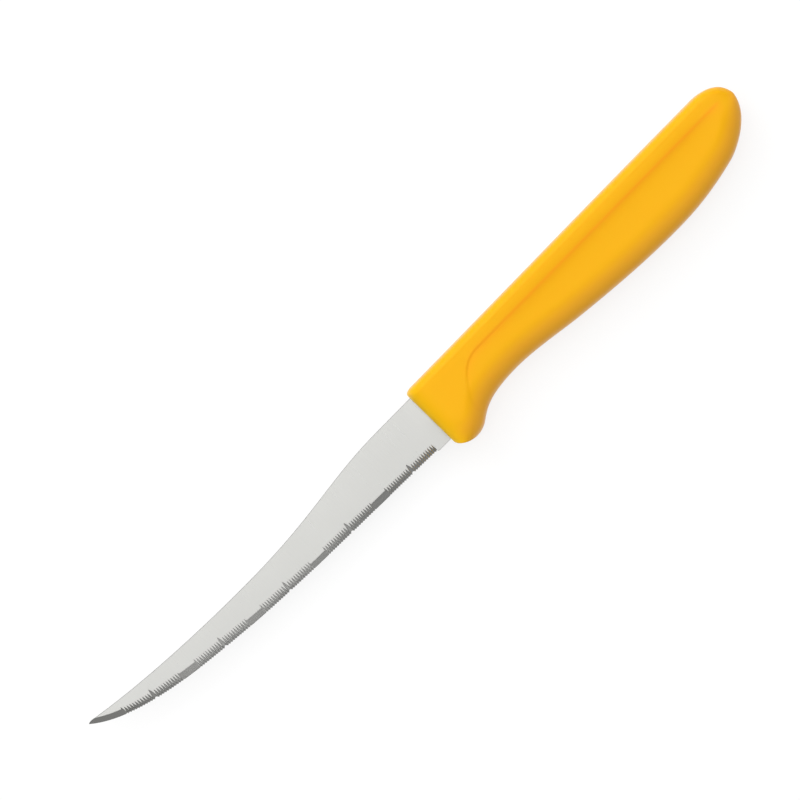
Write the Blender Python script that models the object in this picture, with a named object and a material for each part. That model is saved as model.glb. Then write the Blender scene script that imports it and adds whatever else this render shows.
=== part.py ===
"""A serrated vegetable knife lying on its side, its tip towards -X and its edge towards -Y.

The blade and its hidden tang are one steel blank. The handle is moulded round the tang, and its plastic
runs through the tang's holes. Lengths are in metres. The outlines are drawn in the knife's own plane:
x runs from the front of the handle towards the butt, y up from the straight line of the blade's spine,
and z across the thickness from the blade's middle.
"""

import bmesh
import bpy
import numpy as np
from math import cos, exp, hypot, pi, radians, sin, sqrt
from mathutils import Vector
from mathutils.geometry import interpolate_bezier

# Blade blank
BLADE_LENGTH = 0.1144
HEEL_HEIGHT = 0.01445
BLADE_THICKNESS = 0.0012
EDGE_THICKNESS = 0.0003
HEEL_EDGE_ANGLE = radians(2.3)
HEEL_FILLET = 0.0003

# Blade outline: the edge bends up over its last stretch, and the spine dips before the tip.
# A pair of eases says how long a curve keeps its first and its last direction, as shares of its span.
HEEL_EASES = (0.32, 0.29)
SWEEP_FROM_TIP = 0.0447
SWEEP_BELOW_SPINE = 0.01171
SWEEP_ANGLE = radians(5.5)
SWEEP_EASES = (0.3, 0.28)
EDGE_TIP_ANGLE = radians(41)
SPINE_STRAIGHT = 0.012
SPINE_EASES = (0.355, 0.485)
DIP_FROM_TIP = 0.0539
DIP_DEPTH = 0.0034
DIP_EASES = (0.3, 0.3)
TIP_CROWN_FROM_TIP = 0.0016
TIP_CROWN_RISE = 0.0003
TIP_CROWN_ANGLE = radians(10)
TIP_ROUND_ANGLE = radians(60)
TIP_EASES = (0.3, 0.3)

# Serration: how deep the wheel notches the edge, and the pitches of its profile
LAND_NOTCH = 0.00015
GROOVE_NOTCH = 0.0003
GULLET_NOTCH = 0.00055
TOOTH_TIP = 0.00006
GROOVE_PITCH = 0.000707
GROOVES_PER_SIDE = 11
GULLET_TO_GROOVE = 0.00095
GULLET_PITCH = 0.0213
FIRST_GULLET = 0.01257
LAST_LAND = 0.006
LAND_RUN = 0.0002
HEEL_RUN = 0.00015

# How high the ground face reaches above the edge. The wheel bit deeper in some places than in others,
# so each height is a list of (share of the blade's length from the heel, height).
LAND_HEIGHTS = ((0.20, 0.00215), (0.39, 0.00178), (0.58, 0.00205), (0.765, 0.00227), (0.944, 0.00203))
GROOVE_HEIGHTS = (
    (0.04, 0.0025),
    (0.115, 0.0024),
    (0.175, 0.0026),
    (0.30, 0.00279),
    (0.48, 0.00278),
    (0.665, 0.0029),
    (0.79, 0.00285),
    (0.91, 0.0024),
)
RIDGE_HEIGHTS = ((0.175, 0.00115), (0.245, 0.00125), (0.37, 0.0012), (0.44, 0.0009), (0.91, 0.00095))
GULLET_EXTRA = 0.00075
LAST_GROOVE_EXTRA = 0.00025

# Tang
SHOULDER = 0.003
SHOULDER_FILLET = 0.002
TANG_TOP_STEP = 0.0009
TANG_END_RADIUS = 0.003
TANG_HOLES = 3
TANG_HOLE_DIAMETER = 0.005
HOLE_MARGIN = 0.0085

# Handle
HANDLE_LENGTH = 0.1107
HANDLE_THICKNESS = 0.013
HOOD_LIP = 0.00062
HOOD_RISE = 0.0012
HOOD_RUN = 0.0023
HOOD_EASES = (0.38, 0.42)
SPINE_SWELL = 0.00036
SPINE_SWELL_FROM_BUTT = 0.0257
SWELL_EASES = (0.33, 0.33)
SPINE_CROWN = 0.0003
NOSE_LIP = 0.00088
NOSE_EASES = (0.23, 0.42)
GUARD_DROP = 0.00414
GUARD_FROM_FRONT = 0.0053
GUARD_EASES = (0.29, 0.78)
NECK_FROM_FRONT = 0.024
NECK_RISE = 0.00513
NECK_EASES = (0.32, 0.33)
WAIST_FROM_FRONT = 0.0455
WAIST_DROP = 0.00243
WAIST_ANGLE = radians(6.2)
WAIST_EASES = (0.3, 0.38)
PALM_FROM_BUTT = 0.033
PALM_RISE = 0.0006
PALM_EASES = (0.41, 0.3)
TAIL_FROM_BUTT = 0.0124
TAIL_RISE = 0.00244
TAIL_ANGLE = radians(13.2)
TAIL_EASES = (0.24, 0.345)
BUTT_BELOW_SPINE = 0.00408
BUTT_FLAT = 0.0006
BUTT_TOP_RUN = 0.0087
BUTT_EASES = (0.29, 0.46)

# Handle roundings: the front's is longer than it is deep, and the belly's grows from nothing at the front
# to its full depth where the nose ends
FRONT_DEPTH = 0.0045
FRONT_RUN = 0.006
NOSE_RUN = 0.0066
BUTT_RADIUS = 0.0035
BELLY_RADIUS = 0.006
SPINE_RADIUS = 0.0024

# Crease between the flat land along the spine and the flank below it: at the front only a narrow step,
# which gives way to a scoop that grows behind it
CREASE_START = 0.0096
CREASE_START_DEPTH = 0.012
CREASE_START_ANGLE = radians(57)
CREASE_EASES = (0.4, 0.4)
CREASE_LEVEL_FROM = 0.0207
CREASE_DEPTH = 0.00306
CREASE_END_FROM_BUTT = 0.0035
STEP_DEPTH = 0.00016
STEP_WIDTH = 0.0008
STEP_FADE = 0.001
SCOOP_FADE_IN = 0.034
SCOOP_FADE_OUT = 0.014
SCOOP_DEPTH = 0.0007
SCOOP_ROLL = 0.0022
SCOOP_RUN = 0.0019
SCOOP_CREST = 0.29

# Fit of the handle round the steel
TANG_GAP = 0.0003
TANG_COVER = 0.0023
TANG_BUTT_COVER = 0.026

# Fineness of the meshes
CURVE_POINTS = 96
TIP_STEP = 0.0008
HANDLE_STEP = 0.003
HANDLE_FINE_STEP = 0.0011
ROUND_STEPS = 6
NOSE_STEPS = 8
BUTT_STEPS = 14
BUTT_LENGTH = 0.018
HOLE_SIDES = 24

# Places that follow from the sizes above
SIDE_TAPER = (BLADE_THICKNESS - EDGE_THICKNESS) / 2 / HEEL_HEIGHT
HANDLE_TOP = HOOD_LIP + HOOD_RISE
GUARD_Y = -HEEL_HEIGHT - GUARD_DROP
NECK_Y = GUARD_Y + NECK_RISE
TANG_TOP = -TANG_TOP_STEP
TANG_BOTTOM = NECK_Y + TANG_COVER
TANG_END = HANDLE_LENGTH - TANG_BUTT_COVER
CREASE_END = HANDLE_LENGTH - CREASE_END_FROM_BUTT


def clear_scene():
    for obj in list(bpy.data.objects):
        bpy.data.objects.remove(obj, do_unlink=True)


def bend(start, start_angle, end, end_angle, eases):
    """Points of a curve that leaves start and reaches end at these angles."""
    start = Vector((*start, 0))
    end = Vector((*end, 0))
    reach = (end - start).length
    leave = start + Vector((cos(start_angle), sin(start_angle), 0)) * reach * eases[0]
    arrive = end - Vector((cos(end_angle), sin(end_angle), 0)) * reach * eases[1]
    return interpolate_bezier(start, leave, arrive, end, CURVE_POINTS)


def height_along(*curves):
    """A function that gives the height of a chain of curves at any x."""
    points = sorted({(p.x, p.y) for curve in curves for p in curve})
    xs, ys = zip(*points)
    return lambda x: float(np.interp(x, xs, ys))


def blade_edge():
    """The blank's lower edge, which the tips of the teeth reach."""
    heel = (0, -HEEL_HEIGHT)
    sweep = (SWEEP_FROM_TIP - BLADE_LENGTH, -SWEEP_BELOW_SPINE)
    tip = (-BLADE_LENGTH, -LAND_NOTCH)
    return height_along(
        bend(heel, pi - HEEL_EDGE_ANGLE, sweep, pi - SWEEP_ANGLE, HEEL_EASES),
        bend(sweep, pi - SWEEP_ANGLE, tip, pi - EDGE_TIP_ANGLE, SWEEP_EASES),
    )


def blade_spine():
    straight = (-SPINE_STRAIGHT, 0)
    dip = (DIP_FROM_TIP - BLADE_LENGTH, -DIP_DEPTH)
    crown = (TIP_CROWN_FROM_TIP - BLADE_LENGTH, TIP_CROWN_RISE)
    tip = (-BLADE_LENGTH, 0)
    return height_along(
        bend(straight, pi, dip, pi, SPINE_EASES),
        bend(dip, pi, crown, pi - TIP_CROWN_ANGLE, DIP_EASES),
        bend(crown, pi - TIP_CROWN_ANGLE, tip, pi + TIP_ROUND_ANGLE, TIP_EASES),
    )


def height_at(heights, x):
    """The height that such a list gives at x, straight between its places."""
    shares, values = zip(*heights)
    return float(np.interp(-x / BLADE_LENGTH, shares, values))


def land(x):
    """The wheel's cut on a plain land."""
    return height_at(LAND_HEIGHTS, x), LAND_NOTCH, 0


def wheel_breaks():
    """Where the grinding wheel's profile breaks, as (x, cut), from the heel to the tip.

    A cut is (height of the ground face above the edge, depth of its notch, metal left at its foot).
    Each group has one deep gullet between two runs of fine grooves, and a plain land parts it from the next.
    """
    half_group = GULLET_TO_GROOVE + (GROOVES_PER_SIDE - 1) * GROOVE_PITCH
    unground = (0, 0, EDGE_THICKNESS)
    breaks = [(-FIRST_GULLET + half_group + HEEL_RUN, unground)]
    gullet = -FIRST_GULLET
    while gullet - half_group - LAST_LAND > -BLADE_LENGTH:
        for side in (1, -1):
            for i in range(GROOVES_PER_SIDE):
                groove = gullet + side * (GULLET_TO_GROOVE + i * GROOVE_PITCH)
                ridge = groove - side * GROOVE_PITCH / 2
                extra = LAST_GROOVE_EXTRA if side < 0 and i == GROOVES_PER_SIDE - 1 else 0
                breaks.append((groove, (height_at(GROOVE_HEIGHTS, groove) + extra, GROOVE_NOTCH, 0)))
                breaks.append((ridge, (height_at(RIDGE_HEIGHTS, ridge), 0, TOOTH_TIP)))
        breaks.append((gullet, (height_at(GROOVE_HEIGHTS, gullet) + GULLET_EXTRA, GULLET_NOTCH, 0)))
        for start in (gullet - half_group - LAND_RUN, gullet + half_group + LAND_RUN):
            if start < -FIRST_GULLET:
                breaks.append((start, land(start)))
        gullet -= GULLET_PITCH
    return sorted(breaks, reverse=True)


def blade_section(x, edge, spine, cut):
    """The blade's section at x, as (y, z) from the spine over the ground side to the edge and back."""
    ground, notch, blunt = cut
    low = edge(x)
    height = spine(x) - low
    notch = min(notch, height)

    def side(above):
        return EDGE_THICKNESS / 2 + SIDE_TAPER * above

    reach = min(ground, height)
    share = (reach - notch) / (ground - notch) if ground > notch else 1
    foot = blunt - side(notch)
    bevel_top = foot + (side(ground) - foot) * share
    spine_side = side(height) if reach < height else bevel_top
    return [
        (low + height, spine_side),
        (low + reach, bevel_top),
        (low + notch, foot),
        (low + notch, -side(notch)),
        (low + height, -side(height)),
    ]


def plate_section(bottom, top, bottom_half, top_half):
    """A section of the plain blank, with a corner doubled so that it has as many points as the blade's."""
    near = (bottom, bottom_half)
    return [(top, top_half), near, near, (bottom, -bottom_half), (top, -top_half)]


def tang_stations():
    """(x, bottom, top) along the tang: the shoulder's fillets, the straight stretch and the rounded end."""
    quarter = [radians(90 * i / ROUND_STEPS) for i in range(ROUND_STEPS + 1)]
    stations = []
    heel = -HEEL_HEIGHT
    for angle in quarter:
        share = (1 - cos(angle)) if angle < pi / 2 else 1
        x = SHOULDER + SHOULDER_FILLET * sin(angle)
        stations.append((x, heel + (TANG_BOTTOM - heel) * share, TANG_TOP * share))
    for angle in quarter:
        inset = TANG_END_RADIUS * (1 - cos(angle))
        x = TANG_END - TANG_END_RADIUS * (1 - sin(angle))
        stations.append((x, TANG_BOTTOM + inset, TANG_TOP - inset))
    return stations


def skin(name, rings):
    """A closed mesh over a row of rings of (x, y, z), with a flat cap at each end."""
    bm = bmesh.new()
    rows = [[bm.verts.new(point) for point in ring] for ring in rings]
    for row, following in zip(rows, rows[1:]):
        for i in range(len(row)):
            j = (i + 1) % len(row)
            bm.faces.new((row[i], row[j], following[j], following[i]))
    bm.faces.new(rows[0][::-1])
    bm.faces.new(rows[-1])
    bmesh.ops.remove_doubles(bm, verts=bm.verts, dist=1e-7)
    bmesh.ops.recalc_face_normals(bm, faces=bm.faces)
    mesh = bpy.data.meshes.new(name)
    bm.to_mesh(mesh)
    bm.free()
    return mesh


def place(name, mesh, datum, material=None):
    obj = bpy.data.objects.new(name, mesh)
    bpy.context.scene.collection.objects.link(obj)
    obj.parent = datum
    if material:
        mesh.materials.append(material)
    return obj


def hide_as_cutter(obj):
    obj.hide_render = True
    obj.display_type = "WIRE"


def subtract(obj, cutter):
    modifier = obj.modifiers.new(cutter.name, "BOOLEAN")
    modifier.operation = "DIFFERENCE"
    modifier.solver = "EXACT"
    modifier.object = cutter


def principled(name, colour, roughness, metallic):
    material = bpy.data.materials.new(name)
    material.use_nodes = True
    shader = material.node_tree.nodes["Principled BSDF"]
    shader.inputs["Base Color"].default_value = (*colour, 1)
    shader.inputs["Roughness"].default_value = roughness
    shader.inputs["Metallic"].default_value = metallic
    return material


def blank_sections(gap):
    """Rings of the plain blank behind the ground edge, swollen by gap on every side."""
    half = BLADE_THICKNESS / 2 + gap
    thin = EDGE_THICKNESS / 2 + gap
    rings = [(0, -HEEL_HEIGHT - gap, gap, thin)]
    for x, bottom, top in tang_stations():
        stretch = gap if x > TANG_END - TANG_END_RADIUS - gap else 0
        rings.append((x + stretch, bottom - gap, top + gap, half))
    return [(x, plate_section(bottom, top, low_half, half)) for x, bottom, top, low_half in rings]


def blade_rings():
    """Every ring of the blade from the tip, through the serration and the plain heel, to the tang's end."""
    edge = blade_edge()
    spine = blade_spine()
    breaks = wheel_breaks()
    stations = dict(breaks)
    for (near, cut), (far, beyond) in zip(breaks, breaks[1:]):
        if near - far > 2 * GROOVE_PITCH:
            middle = (near + far) / 2
            stations[middle] = land(middle)
    last = breaks[-1][0]
    point = BLADE_LENGTH + last
    steps = max(int(point / TIP_STEP), 3)
    for i in range(1, steps + 1):
        x = last - point * sin(pi / 2 * i / steps)
        stations[x] = land(x)
    rings = [(x, blade_section(x, edge, spine, stations[x])) for x in sorted(stations)]
    heel = plate_section(-HEEL_HEIGHT, 0, EDGE_THICKNESS / 2, BLADE_THICKNESS / 2)
    rings.append((breaks[0][0] + HEEL_FILLET, heel))
    return rings + blank_sections(0)


def rings_3d(rings):
    return [[(x, y, z) for y, z in section] for x, section in rings]


def hole_cutter(name, radius, datum):
    """Rods that stand across the tang at its holes."""
    bm = bmesh.new()
    first = SHOULDER + SHOULDER_FILLET + HOLE_MARGIN
    last = TANG_END - HOLE_MARGIN
    for i in range(TANG_HOLES):
        x = first + (last - first) * i / max(TANG_HOLES - 1, 1)
        rod = bmesh.ops.create_cone(
            bm,
            cap_ends=True,
            segments=HOLE_SIDES,
            radius1=radius,
            radius2=radius,
            depth=HANDLE_THICKNESS,
        )
        bmesh.ops.translate(bm, verts=rod["verts"], vec=(x, (TANG_TOP + TANG_BOTTOM) / 2, 0))
    mesh = bpy.data.meshes.new(name)
    bm.to_mesh(mesh)
    bm.free()
    cutter = place(name, mesh, datum)
    hide_as_cutter(cutter)
    return cutter


def make_blade(datum):
    steel = principled("brushed steel", (0.60, 0.60, 0.58), 0.32, 1.0)
    blade = place("blade", skin("blade", rings_3d(blade_rings())), datum, steel)
    subtract(blade, hole_cutter("tang_hole_cutter", TANG_HOLE_DIAMETER / 2, datum))


def pocket_cutter(datum):
    """The space that the handle leaves for the steel: the blank with a gap round it, open at the front."""
    sections = blank_sections(TANG_GAP)
    front = (-FRONT_RUN, sections[0][1])
    cutter = place("pocket_cutter", skin("pocket_cutter", rings_3d([front] + sections)), datum)
    hide_as_cutter(cutter)
    subtract(cutter, hole_cutter("plug_cutter", TANG_HOLE_DIAMETER / 2 - TANG_GAP, datum))
    return cutter


def handle_belly():
    front = (0, -HEEL_HEIGHT - NOSE_LIP)
    guard = (GUARD_FROM_FRONT, GUARD_Y)
    neck = (NECK_FROM_FRONT, NECK_Y)
    waist = (WAIST_FROM_FRONT, NECK_Y - WAIST_DROP)
    palm = (HANDLE_LENGTH - PALM_FROM_BUTT, GUARD_Y + PALM_RISE)
    tail = (HANDLE_LENGTH - TAIL_FROM_BUTT, GUARD_Y + PALM_RISE + TAIL_RISE)
    butt = (HANDLE_LENGTH, -BUTT_BELOW_SPINE - BUTT_FLAT / 2)
    return height_along(
        bend(front, -pi / 2, guard, 0, NOSE_EASES),
        bend(guard, 0, neck, 0, GUARD_EASES),
        bend(neck, 0, waist, -WAIST_ANGLE, NECK_EASES),
        bend(waist, -WAIST_ANGLE, palm, 0, WAIST_EASES),
        bend(palm, 0, tail, TAIL_ANGLE, PALM_EASES),
        bend(tail, TAIL_ANGLE, butt, pi / 2, TAIL_EASES),
    )


def handle_spine():
    hood = (0, HOOD_LIP)
    corner = (HOOD_RUN, HANDLE_TOP)
    swell = (HANDLE_LENGTH - SPINE_SWELL_FROM_BUTT, HANDLE_TOP + SPINE_SWELL)
    turn = (HANDLE_LENGTH - BUTT_TOP_RUN, HANDLE_TOP + SPINE_SWELL)
    butt = (HANDLE_LENGTH, -BUTT_BELOW_SPINE + BUTT_FLAT / 2)
    return height_along(
        bend(hood, pi / 2, corner, 0, HOOD_EASES),
        bend(corner, 0, swell, 0, SWELL_EASES),
        bend(swell, 0, turn, 0, SWELL_EASES),
        bend(turn, 0, butt, -pi / 2, BUTT_EASES),
    )


def crease_line():
    start = (CREASE_START, -CREASE_START_DEPTH)
    level = (CREASE_LEVEL_FROM, -CREASE_DEPTH)
    return height_along(
        bend(start, CREASE_START_ANGLE, level, 0, CREASE_EASES),
        [Vector((CREASE_END, -CREASE_DEPTH, 0))],
    )


def ease_in(share):
    share = min(max(share, 0), 1)
    return share * share * (3 - 2 * share)


def scoop(below):
    """How far the flank has fallen, as a share of the scoop's depth, at this distance below the crease."""
    if below < 0:
        return SCOOP_CREST * max(1 + below / SCOOP_ROLL, 0) ** 2
    return 1 - (1 - SCOOP_CREST) * exp(-below / SCOOP_RUN)


def rounded(distance, radius):
    """Height of a quarter circle of this radius, this far in from where it starts."""
    inner = max(radius - distance, 0)
    return sqrt(max(radius * radius - inner * inner, 0))


def half_thickness(x):
    """Half of the handle's thickness at x, rounded down to the front face and to the butt."""
    half = HANDLE_THICKNESS / 2
    front = half - FRONT_DEPTH + FRONT_DEPTH / FRONT_RUN * rounded(x, FRONT_RUN)
    butt = half - BUTT_RADIUS + rounded(HANDLE_LENGTH - x, BUTT_RADIUS)
    return min(front, butt)


def slope_at(line, x):
    """The line's slope at x, taken over a short stretch inside the handle."""
    near = max(x - HANDLE_FINE_STEP / 4, 0)
    far = min(x + HANDLE_FINE_STEP / 4, HANDLE_LENGTH)
    return (line(far) - line(near)) / (far - near)


def handle_section(x, belly, spine, crease):
    """Half of the handle's section at x, as (y, z) from the belly's middle over the flank to the spine."""
    bottom = belly(x)
    top = spine(x)
    height = top - bottom
    half = half_thickness(x)
    belly_share = ease_in(x / NOSE_RUN)
    belly_radius = min(BELLY_RADIUS * hypot(1, slope_at(belly, x)), 0.5 * height)
    spine_radius = min(SPINE_RADIUS * hypot(1, slope_at(spine, x)), 0.4 * height)
    spine_depth = min(SPINE_RADIUS, 0.6 * half)
    crown = min(SPINE_CROWN, 0.1 * height)
    margin = 0.05 * height
    middle = min(max(crease(x), bottom + belly_radius + margin), top - spine_radius - margin)
    lean = hypot(1, slope_at(crease, x)) if CREASE_START < x < CREASE_LEVEL_FROM else 1
    step_half = min(STEP_WIDTH / 2 * lean, margin / 2)
    strength = ease_in((x - CREASE_START) / SCOOP_FADE_IN) * ease_in((CREASE_END - x) / SCOOP_FADE_OUT)
    step = STEP_DEPTH * (1 - strength)
    step *= ease_in((x - CREASE_START) / STEP_FADE) * ease_in((CREASE_END - x) / STEP_FADE)

    def flank(y):
        below = (crease(x) - y) / lean
        return half - SCOOP_DEPTH * strength * scoop(below) - step * ease_in(0.5 + below / STEP_WIDTH)

    section = [(bottom, 0)]
    for i in range(ROUND_STEPS):
        angle = pi / 2 * i / ROUND_STEPS
        y = bottom + belly_radius * (1 - cos(angle))
        section.append((y, flank(y) * (1 - belly_share * (1 - sin(angle)))))
    for share in (0, 0.34, 0.6, 0.83, 1):
        y = bottom + belly_radius + (middle - step_half - bottom - belly_radius) * share
        section.append((y, flank(y)))
    section.append((middle, flank(middle)))
    for share in (0, 0.2, 0.5):
        y = middle + step_half + (top - spine_radius - middle - step_half) * share
        section.append((y, flank(y)))
    for i in range(ROUND_STEPS - 1):
        angle = pi / 2 * i / (ROUND_STEPS - 2)
        y = top - spine_radius + (spine_radius - crown) * sin(angle)
        section.append((y, flank(y) - spine_depth * (1 - cos(angle))))
    section.append((top, 0))
    return section


def handle_stations():
    """Places of the handle's sections, close together where its outline or its crease bends most."""
    nose = [FRONT_RUN * (1 - cos(pi / 2 * i / NOSE_STEPS)) for i in range(NOSE_STEPS)]
    fine = int((NECK_FROM_FRONT - FRONT_RUN) / HANDLE_FINE_STEP)
    guard = [FRONT_RUN + (NECK_FROM_FRONT - FRONT_RUN) * i / fine for i in range(fine)]
    butt_start = HANDLE_LENGTH - BUTT_LENGTH
    coarse = int((butt_start - NECK_FROM_FRONT) / HANDLE_STEP)
    grip = [NECK_FROM_FRONT + (butt_start - NECK_FROM_FRONT) * i / coarse for i in range(coarse)]
    butt = [butt_start + BUTT_LENGTH * sin(pi / 2 * i / BUTT_STEPS) for i in range(BUTT_STEPS + 1)]
    return nose + guard + grip + butt


def make_handle(datum):
    belly = handle_belly()
    spine = handle_spine()
    crease = crease_line()
    rings = []
    for x in handle_stations():
        near = handle_section(x, belly, spine, crease)
        far = [(y, -z) for y, z in near[-2:0:-1]]
        rings.append([(x, y, z) for y, z in near + far])
    plastic = principled("yellow plastic", (0.98, 0.49, 0.012), 0.38, 0.0)
    handle = place("handle", skin("handle", rings), datum, plastic)
    subtract(handle, pocket_cutter(datum))


def shade(name, angle):
    mesh = bpy.data.objects[name].data
    mesh.shade_smooth()
    mesh.set_sharp_from_angle(angle=angle)


def main():
    clear_scene()
    datum = bpy.data.objects.new("knife_datum", None)
    bpy.context.scene.collection.objects.link(datum)
    highest = HANDLE_TOP + SPINE_SWELL
    datum.location = (
        (BLADE_LENGTH - HANDLE_LENGTH) / 2,
        -(highest + GUARD_Y) / 2,
        HANDLE_THICKNESS / 2,
    )
    make_blade(datum)
    make_handle(datum)
    shade("handle", radians(35))


main()
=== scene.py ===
from math import cos, exp, hypot, pi, radians, sin, sqrt

import bmesh
import bpy
import numpy as np
from mathutils import Matrix, Vector
from mathutils.geometry import interpolate_bezier


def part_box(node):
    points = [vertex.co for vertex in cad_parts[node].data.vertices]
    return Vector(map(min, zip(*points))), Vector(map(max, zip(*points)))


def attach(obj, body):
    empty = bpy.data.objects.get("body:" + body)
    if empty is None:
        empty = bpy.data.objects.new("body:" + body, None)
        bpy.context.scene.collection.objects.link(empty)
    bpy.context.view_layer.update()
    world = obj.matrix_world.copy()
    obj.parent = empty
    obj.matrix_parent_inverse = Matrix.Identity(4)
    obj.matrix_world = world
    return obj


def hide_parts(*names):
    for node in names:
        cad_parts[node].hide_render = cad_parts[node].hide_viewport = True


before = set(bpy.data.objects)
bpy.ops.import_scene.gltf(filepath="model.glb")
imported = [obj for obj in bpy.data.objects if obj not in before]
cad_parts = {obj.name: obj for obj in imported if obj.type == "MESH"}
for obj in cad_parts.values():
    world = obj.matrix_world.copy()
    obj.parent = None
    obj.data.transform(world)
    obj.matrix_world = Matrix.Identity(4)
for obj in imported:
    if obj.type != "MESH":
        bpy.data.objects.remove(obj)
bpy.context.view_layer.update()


# Blade: one strip of stainless steel about 1.2 mm thick, stamped to outline and ground thinner towards its
# edge. Its tang carries on into the grip. A wheel dressed to a comb then grinds the serration into one side.
blade_length = 0.1144
heel_height = 0.01445
blade_thickness = 0.0012
edge_thickness = 0.0003
side_taper = (blade_thickness - edge_thickness) / 2 / heel_height
eased_corner = 0.00011
heel_edge_angle = radians(2.3)
heel_fillet = 0.0003

# Outline of the blade. A pair of eases says how long a curve keeps its first and its last direction.
sweep_from_tip = 0.0447
sweep_below_spine = 0.01171
sweep_angle = radians(5.5)
edge_tip_angle = radians(41)
spine_straight = 0.012
dip_from_tip = 0.0539
dip_depth = 0.0034
crown_from_tip = 0.0016
crown_rise = 0.0003
crown_angle = radians(10)
tip_round_angle = radians(60)

# Serration: pitches along the edge, notches into it, and heights above it. The wheel bit a little more or
# less from place to place, so its heights and half the blank's thickness at the edge are listed against
# the distance from the heel. Gullets are counted from 0.
land_notch = 0.00015
groove_notch = 0.0003
gullet_notch = 0.00055
tooth_tip = 0.00006
hone_height = 0.00025
hone_lift = 0.00012
land_heights = ((0.023, 0.00215), (0.045, 0.00178), (0.066, 0.00205), (0.0875, 0.00227), (0.108, 0.00203))
groove_heights = ((0.0045, 0.0025), (0.013, 0.0024), (0.02, 0.0026), (0.034, 0.00279), (0.055, 0.00278),
                  (0.076, 0.0029), (0.09, 0.00285), (0.104, 0.0024))
ridge_heights = ((0.02, 0.00115), (0.028, 0.00125), (0.042, 0.0012), (0.05, 0.0009), (0.104, 0.00095))
edge_halves = ((0.023, 0.00017), (0.045, 0.00008), (0.055, 0.0001), (0.066, 0.00008),
               (0.077, 0.0001), (0.0875, 0.00009), (0.1, 0.00016), (0.108, 0.00025))
gullet_extra = 0.00075
last_extra = 0.00025
heel_run = 0.00015
land_run = 0.0002
groove_pitch = 0.000707
grooves_per_side = 11
gullet_to_groove = 0.00095
gullet_pitch = 0.0213
first_gullet = 0.01257
last_gullet = 4
last_land = 0.006
groove_fullness = 1.5
groove_spread = 0.03
groove_seed = 7

# Tang: it starts behind a shoulder inside the grip, which hides it, and has a rounded end
shoulder = 0.003
shoulder_fillet = 0.002
tang_top_step = 0.0009
tang_end = 0.0847
tang_end_radius = 0.003
tang_bottom = -0.01116

# How finely the blank is divided, along the blade and over each of its faces
curve_points = 240
steps_per_flank = 5
land_step = 0.0006
tip_steps = 40
fillet_steps = 8
flat_rows = 4
bevel_rows = 7

# Faces of the steel that meet at more than this keep a crisp arris between them
ground_arris = radians(4)

grip_low, grip_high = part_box("handle")
steel_low, steel_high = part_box("blade")

# The knife is drawn from the point where the blade's spine meets the grip. The grip's top lies these two
# heights above it.
handle_top = 0.00182
spine_swell = 0.00036
knife_place = Matrix.Translation((
    grip_low.x,
    grip_high.y - handle_top - spine_swell,
    (steel_low.z + steel_high.z) / 2,
))


def bend(start, start_angle, end, end_angle, eases):
    """Points of a curve that leaves start and reaches end at these angles."""
    start = Vector((*start, 0))
    end = Vector((*end, 0))
    reach = (end - start).length
    leave = start + Vector((cos(start_angle), sin(start_angle), 0)) * reach * eases[0]
    arrive = end - Vector((cos(end_angle), sin(end_angle), 0)) * reach * eases[1]
    return interpolate_bezier(start, leave, arrive, end, curve_points)


def height_along(*curves):
    """A function that gives the height of a chain of curves at any x."""
    points = sorted({(p.x, p.y) for curve in curves for p in curve})
    xs, ys = zip(*points)
    return lambda x: float(np.interp(x, xs, ys))


def listed(table, distance):
    """The value that a table gives at this distance from the heel, straight between its rows."""
    distances, values = zip(*table)
    return float(np.interp(distance, distances, values))


def blade_edge():
    heel = (0, -heel_height)
    sweep = (sweep_from_tip - blade_length, -sweep_below_spine)
    tip = (-blade_length, -land_notch)
    return height_along(
        bend(heel, pi - heel_edge_angle, sweep, pi - sweep_angle, (0.32, 0.29)),
        bend(sweep, pi - sweep_angle, tip, pi - edge_tip_angle, (0.3, 0.28)),
    )


def blade_spine():
    straight = (-spine_straight, 0)
    dip = (dip_from_tip - blade_length, -dip_depth)
    crown = (crown_from_tip - blade_length, crown_rise)
    tip = (-blade_length, 0)
    return height_along(
        bend(straight, pi, dip, pi, (0.355, 0.485)),
        bend(dip, pi, crown, pi - crown_angle, (0.3, 0.3)),
        bend(crown, pi - crown_angle, tip, pi + tip_round_angle, (0.3, 0.3)),
    )


def wheel_stations():
    """Places along the blade where its sections stand: at each groove's bottom and ridge and between them."""
    half_group = gullet_to_groove + (grooves_per_side - 1) * groove_pitch
    breaks = [first_gullet - half_group - heel_run]
    gullet = first_gullet
    while gullet + half_group + last_land < blade_length:
        for side in (-1, 1):
            for i in range(grooves_per_side):
                groove = gullet + side * (gullet_to_groove + i * groove_pitch)
                breaks += [groove, groove - side * groove_pitch / 2]
        breaks += [gullet, gullet + half_group + land_run]
        if gullet > first_gullet:
            breaks.append(gullet - half_group - land_run)
        gullet += gullet_pitch
    breaks = sorted(breaks)
    stations = []
    for near, far in zip(breaks, breaks[1:]):
        steps = max(steps_per_flank, int((far - near) / land_step))
        if far - near < groove_pitch / 3:
            steps = 2
        stations += [near + (far - near) * i / steps for i in range(steps)]
    point = blade_length - breaks[-1]
    stations += [breaks[-1] + point * sin(pi / 2 * i / tip_steps) for i in range(tip_steps + 1)]
    return [-x for x in reversed(stations)], -breaks[0]


def tang_stations():
    """(x, bottom, top) from the front of the grip along the tang to its rounded end."""
    quarter = [radians(90 * i / fillet_steps) for i in range(fillet_steps + 1)]
    stations = [(0, -heel_height, 0)]
    for angle in quarter:
        share = 1 - cos(angle) if angle < pi / 2 else 1
        x = shoulder + shoulder_fillet * sin(angle)
        stations.append((x, -heel_height + (tang_bottom + heel_height) * share, -tang_top_step * share))
    for angle in quarter:
        inset = tang_end_radius * (1 - cos(angle))
        x = tang_end - tang_end_radius * (1 - sin(angle))
        stations.append((x, tang_bottom + inset, -tang_top_step - inset))
    return stations


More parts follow.
